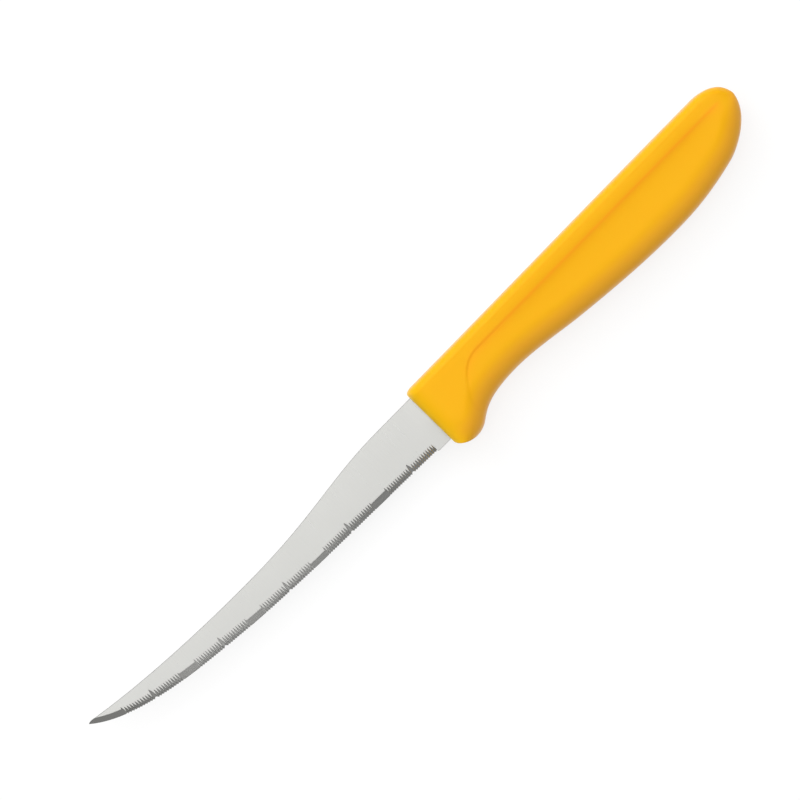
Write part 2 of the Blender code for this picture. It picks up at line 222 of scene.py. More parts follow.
# The lanes that run along the blank, as (face, share of the way over it), in order round its section
lane_codes = {"spine back": -1.0, "spine front": 0.0, "flat": 1.0, "bevel": 2.0, "edge": 2.5, "back": 3.0}
lanes = [("spine back", 0), ("spine front", 0)]
lanes += [("flat", i / flat_rows) for i in range(flat_rows + 1)]
lanes += [("bevel", (i + 1) / bevel_rows) for i in range(bevel_rows)]
lanes += [("edge", 0)]
lanes += [("back", i / flat_rows) for i in range(flat_rows + 1)]


def blank_points(x, low, top):
    """One ring of the blank before the serration, as (x, y, z) for each of its lanes."""
    height = top - low
    ease = min(eased_corner, height / 5)
    wedge = listed(edge_halves, -x) if x < shoulder else blade_thickness / 2
    taper = side_taper if x < shoulder else 0
    reach = min(listed(land_heights, -x), height - ease)
    points = []
    for lane, share in lanes:
        up = height
        if lane == "flat":
            up = height - ease + (reach - height + ease) * share
        if lane == "bevel":
            up = reach + (ease - reach) * share
        if lane == "edge":
            up = 0
        if lane == "back":
            up = (height - ease) * share
        z = wedge + taper * up
        if lane in ("spine front", "edge"):
            z -= ease
        if lane == "spine back":
            z = ease - z
        if lane == "back":
            z = -z
        points.append((x, low + up, z))
    return points


def skin(name, rings):
    """A closed mesh over a row of rings of points, with a flat cap at each end."""
    count = len(rings[0])
    faces = [tuple(range(count))[::-1]]
    for row in range(len(rings) - 1):
        for i in range(count):
            a = row * count + i
            b = row * count + (i + 1) % count
            faces.append((a, b, b + count, a + count))
    faces.append(tuple(range((len(rings) - 1) * count, len(rings) * count)))
    mesh = bpy.data.meshes.new(name)
    mesh.from_pydata([point for ring in rings for point in ring], [], faces)
    return mesh


# Points of a mesh that lie closer together than this are one point
merged_within = 1e-7


def closed(mesh):
    """The mesh with its collapsed faces merged away and all its faces pointing out."""
    bm = bmesh.new()
    bm.from_mesh(mesh)
    bmesh.ops.remove_doubles(bm, verts=bm.verts, dist=merged_within)
    bmesh.ops.dissolve_degenerate(bm, edges=bm.edges, dist=merged_within)
    bmesh.ops.recalc_face_normals(bm, faces=bm.faces)
    bm.to_mesh(mesh)
    bm.free()
    return mesh


class Wiring:
    """Adds nodes to a tree and links them: a number or a socket may be given for each input."""

    def __init__(self, tree):
        self.tree = tree

    def node(self, kind, settings=None, **inputs):
        made = self.tree.nodes.new(kind)
        for name, value in (settings or {}).items():
            setattr(made, name, value)
        for name, value in inputs.items():
            key = int(name[3:]) if name.startswith("in_") else name.replace("_", " ")
            self.join(value, made.inputs[key])
        return made

    def join(self, value, socket):
        if isinstance(value, bpy.types.NodeSocket):
            self.tree.links.new(value, socket)
        else:
            socket.default_value = value

    def maths(self, operation, first, second=0.0, third=0.0):
        made = self.node("ShaderNodeMath", {"operation": operation}, in_0=first, in_1=second)
        if len(made.inputs) > 2:
            self.join(third, made.inputs[2])
        return made.outputs[0]

    def between(self, share, first, second):
        """first where share is 0, second where it is 1, and straight in between."""
        gap = self.maths("SUBTRACT", second, first)
        return self.maths("MULTIPLY_ADD", gap, share, first)


def satin_steel():
    """Stainless steel with fine glazing lines across its flats and the wheel's finer ones on the grind."""
    flat_line_scale = (7000, 90, 300)
    wheel_line_scale = (16000, 350, 350)
    flat_contrast = 0.07
    wheel_contrast = 0.03
    cloud_contrast = 0.03
    steel_tone = 0.507
    honed_painted_shade = 0.2
    warmth = 0.965
    flat_smoothest = 0.23
    flat_roughening = 0.14
    wheel_smoothest = 0.215
    wheel_roughening = 0.07
    flat_relief = 1.0
    wheel_relief = 0.1
    line_depth = 0.000012

    steel = bpy.data.materials.new("glazed_stainless_steel")
    steel.use_nodes = True
    wiring = Wiring(steel.node_tree)
    shader = steel.node_tree.nodes["Principled BSDF"]
    shader.inputs["Metallic"].default_value = 1.0
    place = wiring.node("ShaderNodeTexCoord").outputs["Object"]
    ground = wiring.node("ShaderNodeAttribute", {"attribute_name": "ground"}).outputs["Fac"]
    cut = wiring.maths("MINIMUM", ground, 1.0)
    honed = wiring.maths("MAXIMUM", wiring.maths("SUBTRACT", ground, 1.0), 0.0)

    lines_place = wiring.node("ShaderNodeMapping", Vector=place, Scale=flat_line_scale)
    lines = wiring.node("ShaderNodeTexNoise", Vector=lines_place.outputs[0], Scale=1.0, Detail=3.0)
    wheel_place = wiring.node("ShaderNodeMapping", Vector=place, Scale=wheel_line_scale)
    wheel_lines = wiring.node("ShaderNodeTexNoise", Vector=wheel_place.outputs[0], Scale=1.0, Detail=2.0)
    cloud = wiring.node("ShaderNodeTexNoise", Vector=place, Scale=70.0, Detail=3.0)
    grain = wiring.between(cut, lines.outputs[0], wheel_lines.outputs[0])

    contrast = wiring.maths("MULTIPLY_ADD", cut, wheel_contrast - flat_contrast, flat_contrast)
    tone = wiring.maths("MULTIPLY_ADD", wiring.maths("SUBTRACT", grain, 0.5), contrast, steel_tone)
    tone = wiring.maths("MULTIPLY_ADD", cloud.outputs[0], cloud_contrast, tone)
    # The honed edge is painted darker: painted shade along the very edge
    tone = wiring.maths("MULTIPLY_ADD", honed, -honed_painted_shade, tone)
    blue = wiring.maths("MULTIPLY", tone, warmth)
    colour = wiring.node("ShaderNodeCombineColor", Red=tone, Green=tone, Blue=blue)
    wiring.join(colour.outputs[0], shader.inputs["Base Color"])

    flat_roughness = wiring.maths("MULTIPLY_ADD", grain, flat_roughening, flat_smoothest)
    wheel_roughness = wiring.maths("MULTIPLY_ADD", grain, wheel_roughening, wheel_smoothest)
    wiring.join(wiring.between(cut, flat_roughness, wheel_roughness), shader.inputs["Roughness"])

    depth = wiring.maths("MULTIPLY_ADD", cut, wheel_relief - flat_relief, flat_relief)
    relief = wiring.maths("MULTIPLY", grain, depth)
    bump = wiring.node("ShaderNodeBump", Strength=0.25, Distance=line_depth, Height=relief)
    wiring.join(bump.outputs[0], shader.inputs["Normal"])
    return steel


def comb_wheel(material):
    """The tree that grinds the serration: it moves the blank's points onto the planes that the wheel cuts."""
    tree = bpy.data.node_groups.new("serration_wheel", "GeometryNodeTree")
    wiring = Wiring(tree)
    face = tree.interface
    face.new_socket("Geometry", in_out="INPUT", socket_type="NodeSocketGeometry")
    face.new_socket("Geometry", in_out="OUTPUT", socket_type="NodeSocketGeometry")
    sizes = {
        "First gullet": first_gullet,
        "Gullet pitch": gullet_pitch,
        "Last gullet": float(last_gullet),
        "Gullet to groove": gullet_to_groove,
        "Groove pitch": groove_pitch,
        "Grooves per side": float(grooves_per_side),
        "Groove notch": groove_notch,
        "Gullet notch": gullet_notch,
        "Gullet extra": gullet_extra,
        "Last groove extra": last_extra,
        "Land notch": land_notch,
        "Land run": land_run,
        "Heel run": heel_run,
        "Tooth tip": tooth_tip,
        "Hone height": hone_height,
        "Hone lift": hone_lift,
        "Side taper": side_taper,
        "Eased corner": eased_corner,
        "Groove fullness": groove_fullness,
        "Groove spread": groove_spread,
        "Seed": groove_seed,
    }
    for name, value in sizes.items():
        kind = "NodeSocketInt" if name == "Seed" else "NodeSocketFloat"
        face.new_socket(name, in_out="INPUT", socket_type=kind)
    size = tree.nodes.new("NodeGroupInput").outputs
    maths = wiring.maths
    between = wiring.between

    def lane(name):
        found = wiring.node("GeometryNodeInputNamedAttribute", {"data_type": "FLOAT"}, Name=name)
        return found.outputs["Attribute"]

    def clamped(value):
        return maths("MINIMUM", maths("MAXIMUM", value, 0.0), 1.0)

    # How far this point is from its gullet, and which groove it lies in
    place = wiring.node("ShaderNodeSeparateXYZ", Vector=wiring.node("GeometryNodeInputPosition").outputs[0])
    back = maths("MULTIPLY", place.outputs["X"], -1.0)
    past_first = maths("SUBTRACT", back, size["First gullet"])
    turn = maths("ROUND", maths("DIVIDE", past_first, size["Gullet pitch"]))
    turn = maths("MAXIMUM", maths("MINIMUM", turn, size["Last gullet"]), 0.0)
    middle = maths("MULTIPLY_ADD", turn, size["Gullet pitch"], size["First gullet"])
    offset = maths("SUBTRACT", back, middle)
    away = maths("ABSOLUTE", offset)
    half_pitch = maths("MULTIPLY", size["Groove pitch"], 0.5)
    first_ridge = maths("SUBTRACT", size["Gullet to groove"], half_pitch)
    count = maths("DIVIDE", maths("SUBTRACT", away, first_ridge), size["Groove pitch"])
    groove_number = maths("FLOOR", count)
    in_groove = maths("FRACT", count)
    from_groove = maths("ABSOLUTE", maths("MULTIPLY_ADD", in_groove, 2.0, -1.0))
    to_groove = maths("SUBTRACT", 1.0, maths("POWER", from_groove, size["Groove fullness"]))

    # Each groove is a little taller or shorter than the next, and the last towards the tip is taller
    side = maths("SIGN", offset)
    number = maths("MULTIPLY_ADD", turn, 100.0, maths("MULTIPLY_ADD", side, 40.0, groove_number))
    chance = wiring.node("FunctionNodeRandomValue", {"data_type": "FLOAT"})
    wiring.join(number, chance.inputs["ID"])
    wiring.join(size["Seed"], chance.inputs["Seed"])
    uneven = maths("MULTIPLY", maths("SUBTRACT", chance.outputs[1], 0.5), size["Groove spread"])
    comb_height = lane("groove")
    last_number = maths("SUBTRACT", size["Grooves per side"], 1.0)
    at_last = maths("GREATER_THAN", groove_number, maths("SUBTRACT", last_number, 0.5))
    is_last = maths("MULTIPLY", at_last, side)
    extra = maths("MULTIPLY", maths("MAXIMUM", is_last, 0.0), size["Last groove extra"])
    tall = maths("ADD", maths("MULTIPLY_ADD", comb_height, uneven, comb_height), extra)

    # Where the wheel's profile passes from gullet to ridge, along the comb, and out to the land or the heel
    from_gullet = maths("POWER", clamped(maths("DIVIDE", away, first_ridge)), size["Groove fullness"])
    in_comb = maths("GREATER_THAN", away, first_ridge)
    last_groove = maths("MULTIPLY_ADD", last_number, size["Groove pitch"], size["Gullet to groove"])
    past = maths("SUBTRACT", away, last_groove)
    past_comb = maths("GREATER_THAN", past, 0.0)
    at_heel = maths("MULTIPLY", maths("LESS_THAN", turn, 0.5), maths("LESS_THAN", offset, 0.0))
    run_out = between(at_heel, size["Land run"], size["Heel run"])
    out = clamped(maths("DIVIDE", past, run_out))

    def profile(gullet, ridge, groove, land, heel):
        comb = between(to_groove, ridge, groove)
        value = between(in_comb, between(from_gullet, gullet, ridge), comb)
        beyond = between(out, groove, between(at_heel, land, heel))
        return between(past_comb, value, beyond)

    wedge = lane("wedge")
    gullet = maths("ADD", comb_height, size["Gullet extra"])
    ground = profile(gullet, lane("ridge"), tall, lane("land"), 0.0)
    notch = profile(size["Gullet notch"], 0.0, size["Groove notch"], size["Land notch"], 0.0)
    blunt = profile(0.0, size["Tooth tip"], 0.0, 0.0, maths("MULTIPLY", wedge, 2.0))

    # The ground face runs from the notch's foot up to the flat side, or to the spine near the tip
    low = lane("low")
    height = maths("SUBTRACT", lane("top"), low)
    notch = maths("MINIMUM", notch, height)
    reach = maths("MINIMUM", ground, height)
    foot = maths("SUBTRACT", blunt, maths("MULTIPLY_ADD", notch, size["Side taper"], wedge))
    ground_half = maths("MULTIPLY_ADD", ground, size["Side taper"], wedge)
    length = maths("MAXIMUM", maths("SUBTRACT", ground, notch), 1e-6)
    slope = maths("DIVIDE", maths("SUBTRACT", ground_half, foot), length)
    ease = maths("MINIMUM", size["Eased corner"], maths("MULTIPLY", maths("SUBTRACT", height, reach), 0.5))
    shoulder_up = maths("SUBTRACT", height, ease)

    # A hone has taken the sharpest corner off and left a narrow steeper face along the very edge
    share = lane("share")
    code = lane("lane")
    hone_top = maths("MINIMUM", maths("ADD", notch, size["Hone height"]), reach)
    hone_foot = maths("MINIMUM", maths("ADD", notch, size["Hone lift"]), hone_top)
    on_flat = between(share, shoulder_up, reach)
    on_bevel = between(share, reach, hone_top)
    on_back = between(share, hone_foot, shoulder_up)
    up = height
    for name, lane_height in (("flat", on_flat), ("bevel", on_bevel), ("edge", hone_foot), ("back", on_back)):
        here = maths("COMPARE", code, lane_codes[name], 0.1)
        up = between(here, up, lane_height)
    side_half = maths("MULTIPLY_ADD", up, size["Side taper"], wedge)
    plane = maths("MULTIPLY_ADD", maths("SUBTRACT", up, notch), slope, foot)
    front = maths("MINIMUM", side_half, plane)
    front_corner = maths("SUBTRACT", front, ease)
    rear = maths("MULTIPLY", side_half, -1.0)
    rear_corner = maths("ADD", rear, ease)
    past_bevel = (lane_codes["bevel"] + lane_codes["edge"]) / 2
    is_rear = maths("GREATER_THAN", code, past_bevel)
    is_rear_corner = maths("COMPARE", code, lane_codes["spine back"], 0.1)
    is_front_corner = maths("COMPARE", code, lane_codes["spine front"], 0.1)
    z = between(is_rear, front, rear)
    z = between(is_front_corner, z, front_corner)
    z = between(is_rear_corner, z, rear_corner)
    y = maths("ADD", low, up)
    moved = wiring.node("ShaderNodeCombineXYZ", X=place.outputs["X"], Y=y, Z=z)

    first_cut = maths("SUBTRACT", size["First gullet"], maths("ADD", last_groove, size["Heel run"]))
    in_reach = maths("GREATER_THAN", back, maths("ADD", first_cut, 1e-6))
    selected = wiring.node("FunctionNodeCompare", {"data_type": "FLOAT", "operation": "GREATER_THAN"})
    wiring.join(in_reach, selected.inputs["A"])
    wiring.join(0.5, selected.inputs["B"])
    set_place = wiring.node(
        "GeometryNodeSetPosition",
        Geometry=size["Geometry"],
        Selection=selected.outputs[0],
        Position=moved.outputs[0],
    )

    # The steel's finish reads this mark: 1 on the ground face, 2 on the honed edge and 0 elsewhere
    on_grind = maths("COMPARE", code, past_bevel, 0.3)
    on_edge = maths("MULTIPLY", is_rear, on_grind)
    ground_mark = maths("MULTIPLY", maths("ADD", on_grind, on_edge), in_reach)
    mark = wiring.node(
        "GeometryNodeStoreNamedAttribute",
        {"data_type": "FLOAT", "domain": "POINT"},
        Geometry=set_place.outputs[0],
        Name="ground",
        Value=ground_mark,
    )
    realize = wiring.node("GeometryNodeRealizeInstances", Geometry=mark.outputs[0])
    finish = wiring.node("GeometryNodeSetMaterial", Geometry=realize.outputs[0], Material=material)
    leave = tree.nodes.new("NodeGroupOutput")
    wiring.join(finish.outputs[0], leave.inputs["Geometry"])
    return tree, sizes


edge_line = blade_edge()
spine_line = blade_spine()
stations, ground_from = wheel_stations()
sections = [(x, edge_line(x), spine_line(x)) for x in stations]
sections += [(ground_from + heel_fillet, -heel_height, 0)] + tang_stations()
blank = skin("blade_blank", [blank_points(*section) for section in sections])
marks = {
    "lane": [lane_codes[lane] for section in sections for lane, share in lanes],
    "share": [share for section in sections for lane, share in lanes],
    "low": [low for x, low, top in sections for lane in lanes],
    "top": [top for x, low, top in sections for lane in lanes],
    "land": [listed(land_heights, -x) for x, low, top in sections for lane in lanes],
    "groove": [listed(groove_heights, -x) for x, low, top in sections for lane in lanes],
    "ridge": [listed(ridge_heights, -x) for x, low, top in sections for lane in lanes],
    "wedge": [listed(edge_halves, -x) for x, low, top in sections for lane in lanes],
}
for name, values in marks.items():
    blank.attributes.new(name, "FLOAT", "POINT").data.foreach_set("value", values)
blank_piece = bpy.data.objects.new("blade_blank", blank)
bpy.context.scene.collection.objects.link(blank_piece)

wheel_tree, wheel_sizes = comb_wheel(satin_steel())
grind = blank_piece.modifiers.new("serration_wheel", "NODES")
grind.node_group = wheel_tree
for socket in wheel_tree.interface.items_tree:
    if socket.in_out == "INPUT" and socket.name in wheel_sizes:
        grind[socket.identifier] = wheel_sizes[socket.name]
evaluated = blank_piece.evaluated_get(bpy.context.evaluated_depsgraph_get())
blade_mesh = bpy.data.meshes.new_from_object(evaluated)
bpy.data.objects.remove(blank_piece)
closed(blade_mesh)
blade_mesh.transform(knife_place)
blade_mesh.shade_smooth()
blade_mesh.set_sharp_from_angle(angle=ground_arris)
blade = bpy.data.objects.new("serrated_blade", blade_mesh)
bpy.context.scene.collection.objects.link(blade)
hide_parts("blade")
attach(blade, "root")


# Handle: one piece of yellow plastic, moulded straight round the tang in a two-part mould, so a faint
# parting line runs all the way round it. Each flank is flat along the spine and scooped below a soft crease.
# Its colour is painted a deeper orange in the crease as painted shade, greener by the steel as painted cool
# light, and paler and greyer on the underside as a painted reflection.
handle_length = 0.1107
handle_thickness = 0.013
hood_lip = 0.00062
hood_run = 0.0023
swell_from_butt = 0.0257
spine_crown = 0.0003
nose_lip = 0.00088
guard_y = -0.01859
guard_from_front = 0.0053
neck_from_front = 0.024
neck_y = -0.01366
waist_from_front = 0.0455
waist_drop = 0.00243
waist_angle = radians(6.2)
palm_from_butt = 0.033
palm_rise = 0.0004
tail_from_butt = 0.0124
tail_rise = 0.00256
tail_angle = radians(13.2)
butt_below_spine = 0.00408
butt_flat = 0.0006
butt_top_run = 0.0087
front_depth = 0.0045
front_run = 0.006
butt_depth = 0.0035
butt_run = 0.008
belly_radius = 0.0066
nose_run = 0.0072
spine_radius = 0.0024

# Where the moulding is low or thin, its roundings shrink to these shares of its height or thickness
most_belly_round = 0.5
most_spine_round = 0.4
most_spine_depth = 0.6
most_crown = 0.1
least_flank = 0.1

# Crease and scoop of each flank: a narrow step runs along the crease, and the scoop grows behind it
step_depth = 0.00016
step_width = 0.0008
step_fade = 0.001
crease_start = 0.0096
crease_start_depth = 0.012
crease_start_angle = radians(57)
crease_level_from = 0.0207
crease_depth = 0.00306
crease_end = handle_length - 0.0035
fade_in = 0.034
fade_out = 0.014
scoop_depth = 0.0007
scoop_roll = 0.0022
scoop_run = 0.0019
scoop_crest = 0.29

# Where painted shade, painted light and a painted reflection change the plastic's colour, and how far hand
# and board have polished it
crease_painted_shade_above = 0.00045
crease_painted_shade_below = 0.0009
crease_painted_shade_fade_in = 0.012
crease_painted_shade_fade_out = 0.003
flank_from = 0.004
mouth_painted_light_reach = 0.0018
underside_reflection_reach = 0.6
belly_polish = 0.5
belly_polish_reach = 0.0012
spine_polish = 0.12
spine_polish_reach = 0.0026

# The pocket in the front face closes up tight round the steel
mouth_gap = 0.00003

# How finely the moulding is divided
slope_reach = 0.00028
nose_steps = 20
grip_step = 0.0004
butt_steps = 50
butt_length = 0.018
round_steps = 24
flank_rows = 40
land_rows = 22

# Only the pocket's corners are sharper than this: the rest of the moulding is smoothly rounded
moulded_arris = radians(40)


def handle_belly():
    front = (0, -heel_height - nose_lip)
    guard = (guard_from_front, guard_y)
    neck = (neck_from_front, neck_y)
    waist = (waist_from_front, neck_y - waist_drop)
    palm = (handle_length - palm_from_butt, guard_y + palm_rise)
    tail = (handle_length - tail_from_butt, guard_y + palm_rise + tail_rise)
    butt = (handle_length, -butt_below_spine - butt_flat / 2)
    return height_along(
        bend(front, -pi / 2, guard, 0, (0.23, 0.42)),
        bend(guard, 0, neck, 0, (0.29, 0.78)),
        bend(neck, 0, waist, -waist_angle, (0.32, 0.33)),
        bend(waist, -waist_angle, palm, 0, (0.3, 0.38)),
        bend(palm, 0, tail, tail_angle, (0.41, 0.3)),
        bend(tail, tail_angle, butt, pi / 2, (0.24, 0.345)),
    )


def handle_spine():
    hood = (0, hood_lip)
    corner = (hood_run, handle_top)
    swell = (handle_length - swell_from_butt, handle_top + spine_swell)
    turn = (handle_length - butt_top_run, handle_top + spine_swell)
    butt = (handle_length, -butt_below_spine + butt_flat / 2)
    return height_along(
        bend(hood, pi / 2, corner, 0, (0.38, 0.42)),
        bend(corner, 0, swell, 0, (0.33, 0.33)),
        bend(swell, 0, turn, 0, (0.33, 0.33)),
        bend(turn, 0, butt, -pi / 2, (0.35, 0.43)),
    )


def crease_line():
    start = (crease_start, -crease_start_depth)
    level = (crease_level_from, -crease_depth)
    end = Vector((crease_end, -crease_depth, 0))
    return height_along(bend(start, crease_start_angle, level, 0, (0.4, 0.4)), [end])


def ease_in(share):
    share = min(max(share, 0), 1)
    return share * share * (3 - 2 * share)


def scoop(below):
    """How far the flank has fallen, as a share of the scoop's depth, this far below the crease."""
    if below < 0:
        return scoop_crest * max(1 + below / scoop_roll, 0) ** 2
    return 1 - (1 - scoop_crest) * exp(-below / scoop_run)


def rounded(distance, radius):
    """Height of a quarter circle of this radius, this far in from where it starts."""
    inner = max(radius - distance, 0)
    return sqrt(max(radius * radius - inner * inner, 0))


def half_thickness(x):
    """Half the moulding's thickness at x, rounded in at the front face and at the butt."""
    half = handle_thickness / 2
    front = half - front_depth + front_depth / front_run * rounded(x, front_run)
    butt = half - butt_depth + butt_depth / butt_run * rounded(handle_length - x, butt_run)
    return min(front, butt)


def slope_at(line, x):
    """How steeply a line of the side view runs at x."""
    near = max(x - slope_reach, 0)
    far = min(x + slope_reach, handle_length)
    return (line(far) - line(near)) / (far - near)


def crease_lean(crease, x):
    """How much longer the way to the crease is straight down than square to it, where it slants."""
    return hypot(1, slope_at(crease, x)) if crease_start < x < crease_level_from else 1


def handle_section(x, belly, spine, crease):
    """Half of the section at x, as (y, z) from the belly's middle over the flank to the spine's middle."""
    bottom = belly(x)
    top = spine(x)
    height = top - bottom
    half = half_thickness(x)
    nose = ease_in(x / nose_run)
    belly_round = min(belly_radius * hypot(1, slope_at(belly, x)), most_belly_round * height)
    spine_round = min(spine_radius * hypot(1, slope_at(spine, x)), most_spine_round * height)
    spine_depth = min(spine_radius, most_spine_depth * half)
    crown = min(spine_crown, most_crown * height)
    lowest = bottom + belly_round + least_flank * height
    highest = top - spine_round - least_flank * height
    middle = min(max(crease(x), lowest), highest)
    lean = crease_lean(crease, x)
    strength = ease_in((x - crease_start) / fade_in) * ease_in((crease_end - x) / fade_out)
    line = ease_in((x - crease_start) / step_fade) * ease_in((crease_end - x) / fade_out)

    def flank(y):
        below = (crease(x) - y) / lean
        step = step_depth * line * (1 - strength) * ease_in(0.5 + below / step_width)
        return half - scoop_depth * strength * scoop(below) - step

    section = [(bottom, 0)]
    for i in range(round_steps):
        angle = pi / 2 * i / round_steps
        y = bottom + belly_round * (1 - cos(angle))
        section.append((y, flank(y) * (1 - nose * (1 - sin(angle)))))
    for i in range(flank_rows):
        y = bottom + belly_round + (middle - bottom - belly_round) * sin(pi / 2 * i / flank_rows)
        section.append((y, flank(y)))
    for i in range(land_rows):
        y = middle + (top - spine_round - middle) * (1 - cos(pi / 2 * i / land_rows))
        section.append((y, flank(y)))
    for i in range(round_steps):
        angle = pi / 2 * i / (round_steps - 1)
        y = top - spine_round + (spine_round - crown) * sin(angle)
        section.append((y, flank(y) - spine_depth * (1 - cos(angle))))
    section.append((top, 0))
    return section


def handle_stations():
    nose = [front_run * (1 - cos(pi / 2 * i / nose_steps)) for i in range(nose_steps)]
    butt_start = handle_length - butt_length
    steps = int((butt_start - front_run) / grip_step)
    grip = [front_run + (butt_start - front_run) * i / steps for i in range(steps)]
    butt = [butt_start + butt_length * sin(pi / 2 * i / butt_steps) for i in range(butt_steps + 1)]
    return nose + grip + butt


def pocket_ring(front, x, bottom, top):
    """A ring of the tight pocket round the steel, with as many points as the handle's front."""
    lowest = min(y for y, z in front)
    highest = max(y for y, z in front)
    ring = []
    for y, z in front:
        share = (y - lowest) / (highest - lowest)
        height = bottom - mouth_gap + (top - bottom + 2 * mouth_gap) * share
        wedge = blade_thickness / 2
        if x < shoulder:
            wedge = edge_halves[0][1] + side_taper * max(height - bottom, 0)
        side = 0 if abs(z) < 1e-6 else z / abs(z)
        ring.append((x, height, side * (wedge + mouth_gap)))
    return ring


def yellow_plastic():
    """Through-coloured yellow plastic with the soft gloss of a polished mould and a faint parting line."""
    flow_scale = (25, 90, 90)
    body_yellow = (0.92, 0.45, 0.003, 1)
    flow_yellow = (0.935, 0.463, 0.005, 1)
    painted_tints = {
        # Painted shade: the crease is painted a deeper, darker orange
        "crease": (1.0, 0.385, 0.012, 1),
        # Painted cool light: the plastic is painted greener next to the blade
        "mouth_painted_light": (0.92, 0.56, 0.008, 1),
        # Painted reflection: the underside is painted paler and greyer
        "belly": (0.99, 0.462, 0.026, 1),
    }
    smoothest = 0.31
    wear_roughening = 0.1
    grain_roughening = 0.05
    grain_relief = 0.12
    seam_relief = 0.6
    seam_half_width = 0.00012
    relief_depth = 0.00004

    plastic = bpy.data.materials.new("moulded_yellow_plastic")
    plastic.use_nodes = True
    wiring = Wiring(plastic.node_tree)
    shader = plastic.node_tree.nodes["Principled BSDF"]
    shader.inputs["IOR"].default_value = 1.49
    shader.inputs["Specular IOR Level"].default_value = 0.12
    shader.inputs["Coat IOR"].default_value = 1.9
    shader.inputs["Coat Roughness"].default_value = 0.3
    shader.inputs["Subsurface Weight"].default_value = 0.08
    shader.inputs["Subsurface Radius"].default_value = (1.0, 0.3, 0.1)
    shader.inputs["Subsurface Scale"].default_value = 0.0012

    def blend(share, first, second):
        made = wiring.node("ShaderNodeMix", {"data_type": "RGBA"}, Factor=share)
        wiring.join(first, made.inputs[6])
        wiring.join(second, made.inputs[7])
        return made.outputs[2]

    def painted_tint_and_polish_share(name):
        return wiring.node("ShaderNodeAttribute", {"attribute_name": name}).outputs["Fac"]

    place = wiring.node("ShaderNodeTexCoord").outputs["Object"]
    flow_place = wiring.node("ShaderNodeMapping", Vector=place, Scale=flow_scale)
    flow = wiring.node("ShaderNodeTexNoise", Vector=flow_place.outputs[0], Scale=1.0, Detail=2.0)
    colour = blend(flow.outputs[0], body_yellow, flow_yellow)
    # The tints lay painted shade in the crease, painted cool light by the steel and a painted reflection on
    # the underside over the base colour
    for name, tint in painted_tints.items():
        colour = blend(painted_tint_and_polish_share(name), colour, tint)
    wiring.join(colour, shader.inputs["Base Color"])
    wiring.join(painted_tint_and_polish_share("polish"), shader.inputs["Coat Weight"])

    mould_grain = wiring.node("ShaderNodeTexNoise", Vector=place, Scale=1400.0, Detail=3.0)
    wear = wiring.node("ShaderNodeTexNoise", Vector=place, Scale=55.0, Detail=4.0)
    roughness = wiring.maths("MULTIPLY_ADD", wear.outputs[0], wear_roughening, smoothest)
    roughness = wiring.maths("MULTIPLY_ADD", mould_grain.outputs[0], grain_roughening, roughness)
    wiring.join(roughness, shader.inputs["Roughness"])

    level = wiring.node("ShaderNodeSeparateXYZ", Vector=place).outputs["Z"]
    off_line = wiring.maths("ABSOLUTE", wiring.maths("SUBTRACT", level, knife_place.translation.z))
    seam = wiring.maths("MAXIMUM", wiring.maths("MULTIPLY_ADD", off_line, -1 / seam_half_width, 1.0), 0.0)
    seam = wiring.maths("MULTIPLY", seam, seam_relief)
    relief = wiring.maths("MULTIPLY_ADD", mould_grain.outputs[0], grain_relief, seam)
    bump = wiring.node("ShaderNodeBump", Strength=0.3, Distance=relief_depth, Height=relief)
    wiring.join(bump.outputs[0], shader.inputs["Normal"])
    return plastic


belly = handle_belly()
spine = handle_spine()
crease = crease_line()


def crease_painted_shade_at(x, y):
    """How deep in the crease a place lies, and so how much painted shade it gets: 0 on the open flank, 1 on
    the crease itself.
    """
    along = ease_in((x - crease_start) / crease_painted_shade_fade_in)
    along *= ease_in((crease_end - x) / crease_painted_shade_fade_out)
    lean = crease_lean(crease, x)
    below = (crease(x) - y) / lean
    reach = crease_painted_shade_below if below > 0 else crease_painted_shade_above
    return along * exp(-abs(below) / reach)


def underside_reflection_at(x, y):
    """How far round the belly a place lies, and so how much painted reflection it gets: 0 on the open flank,
    1 on the underside.
    """
    below = belly(x) + belly_radius - y
    return ease_in(x / nose_run) * ease_in(below / (underside_reflection_reach * belly_radius))


def polish_at(x, y):
    """How far hand and board have polished a place: most along the belly, a little along the spine."""
    under = belly_polish * ease_in(1 - (y - belly(x)) / belly_polish_reach)
    over = spine_polish * ease_in(1 - (spine(x) - y) / spine_polish_reach)
    return ease_in(x / nose_run) * (under + over)


outer = []
front_outline = []
for x in handle_stations():
    near = handle_section(x, belly, spine, crease)
    outline = near + [(y, -z) for y, z in near[-2:0:-1]]
    front_outline = front_outline or outline
    outer.append([(x, y, z) for y, z in outline])
pocket = [pocket_ring(front_outline, *station) for station in reversed(tang_stations())]
handle_mesh = closed(skin("moulded_handle", pocket + outer))
places = [tuple(vertex.co) for vertex in handle_mesh.vertices]
# Shares of the painted shade, painted light and painted reflection, and of the polish, stored on the points
# for the plastic
painted_tints_and_polish = {
    "crease": [crease_painted_shade_at(x, y) if abs(z) > flank_from else 0 for x, y, z in places],
    "mouth_painted_light": [exp(-max(x, 0) / mouth_painted_light_reach) for x, y, z in places],
    "belly": [underside_reflection_at(x, y) for x, y, z in places],
    "polish": [polish_at(x, y) for x, y, z in places],
}
for name, values in painted_tints_and_polish.items():
    handle_mesh.attributes.new(name, "FLOAT", "POINT").data.foreach_set("value", values)
handle_mesh.transform(knife_place)
handle_mesh.shade_smooth()
handle_mesh.set_sharp_from_angle(angle=moulded_arris)
handle_mesh.materials.append(yellow_plastic())
handle = bpy.data.objects.new("moulded_handle", handle_mesh)
bpy.context.scene.collection.objects.link(handle)
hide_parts("handle")
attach(handle, "root")


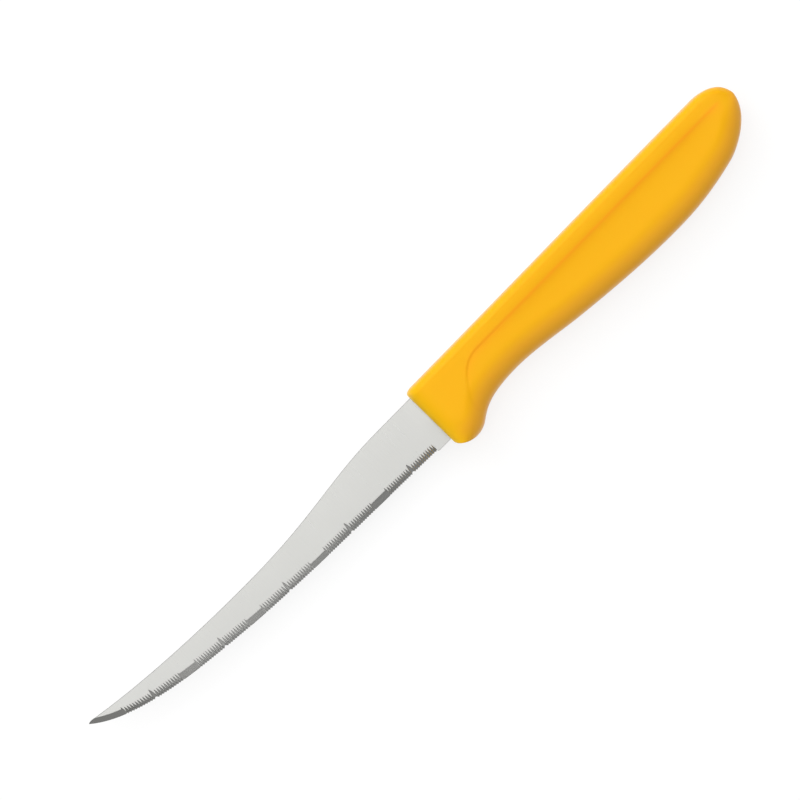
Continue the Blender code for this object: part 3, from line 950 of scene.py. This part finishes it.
# Floor: a plain white sweep that the knife lies on. To the eye and in reflections it is lit mostly from
# within, as a light table is, so it stays white and the knife's shadow on it stays faint.
floor_radius = 4.0
lit_paper = (0.8, 0.77, 0.74, 1)
seen_paper = (0.2, 0.2, 0.2, 1)
seen_glow = 0.82

floor_mesh = bpy.data.meshes.new("white_floor")
bm = bmesh.new()
bmesh.ops.create_circle(bm, cap_ends=True, radius=floor_radius, segments=64)
bm.to_mesh(floor_mesh)
bm.free()
floor = bpy.data.objects.new("white_floor", floor_mesh)
bpy.context.scene.collection.objects.link(floor)

paper = bpy.data.materials.new("white_paper")
paper.use_nodes = True
paper.node_tree.nodes.clear()
wiring = Wiring(paper.node_tree)
ray = wiring.node("ShaderNodeLightPath").outputs
reflected = wiring.maths("MAXIMUM", ray["Is Glossy Ray"], ray["Is Transmission Ray"])
seen = wiring.maths("MAXIMUM", ray["Is Camera Ray"], reflected)
matte = wiring.node("ShaderNodeBsdfDiffuse", Color=lit_paper)
pale = wiring.node("ShaderNodeBsdfDiffuse", Color=seen_paper)
glow = wiring.node("ShaderNodeEmission", Color=(1, 1, 1, 1), Strength=seen_glow)
lit = wiring.node("ShaderNodeAddShader", in_0=pale.outputs[0], in_1=glow.outputs[0])
either = wiring.node("ShaderNodeMixShader", in_0=seen, in_1=matte.outputs[0], in_2=lit.outputs[0])
wiring.node("ShaderNodeOutputMaterial", Surface=either.outputs[0])
floor_mesh.materials.append(paper)


# Light: one very large soft panel overhead, set towards the knife's spine, in a pale room. The flat of the
# blade reflects the panel, and the ground edge, which leans the other way, reflects the room. A second lamp
# brightens the handle from the spine's side. No metal reflects it, so the blade doesn't burn out to white.
panel_height = 1.5
panel_width = 3.4
panel_from = -0.22
panel_to = 2.6
panel_power = 1.45
room_light = 0.33
side_power = 2.2
side_size = 2.4
side_from = Vector((-0.4, 3.2, 2.0))

lamp = bpy.data.lights.new("soft_panel", "AREA")
lamp.shape = "RECTANGLE"
lamp.size = panel_width
lamp.size_y = panel_to - panel_from
lamp.energy = panel_power * pi * panel_width * (panel_to - panel_from)
soft_panel = bpy.data.objects.new("soft_panel", lamp)
soft_panel.location = (0, (panel_from + panel_to) / 2, panel_height)
bpy.context.scene.collection.objects.link(soft_panel)

lamp = bpy.data.lights.new("side_panel", "AREA")
lamp.shape = "SQUARE"
lamp.size = side_size
lamp.energy = side_power * pi * side_size * side_size
side_panel = bpy.data.objects.new("side_panel", lamp)
side_panel.location = side_from
side_panel.rotation_euler = side_from.to_track_quat("Z", "Y").to_euler()
side_panel.visible_glossy = False
bpy.context.scene.collection.objects.link(side_panel)

room = bpy.data.worlds.new("pale_room")
room.use_nodes = True
room.node_tree.nodes["Background"].inputs["Color"].default_value = (1, 1, 1, 1)
room.node_tree.nodes["Background"].inputs["Strength"].default_value = room_light
bpy.context.scene.world = room
bpy.context.scene.view_settings.view_transform = "Standard"


# Camera: straight above the knife, which lies across the picture with its tip at the lower left
view_middle = Vector((-0.0002, 0.00965, knife_place.translation.z))
view_width = 0.2
lens = 150
sensor = 36
knife_turn = radians(45.5)

eye = bpy.data.cameras.new("view_from_above")
eye.lens = lens
eye.sensor_width = sensor
eye.clip_start = 0.01
eye.clip_end = 20
camera = bpy.data.objects.new("view_from_above", eye)
camera.location = view_middle + Vector((0, 0, view_width * lens / sensor))
camera.rotation_euler = (0, 0, -knife_turn)
bpy.context.scene.collection.objects.link(camera)
bpy.context.scene.camera = camera
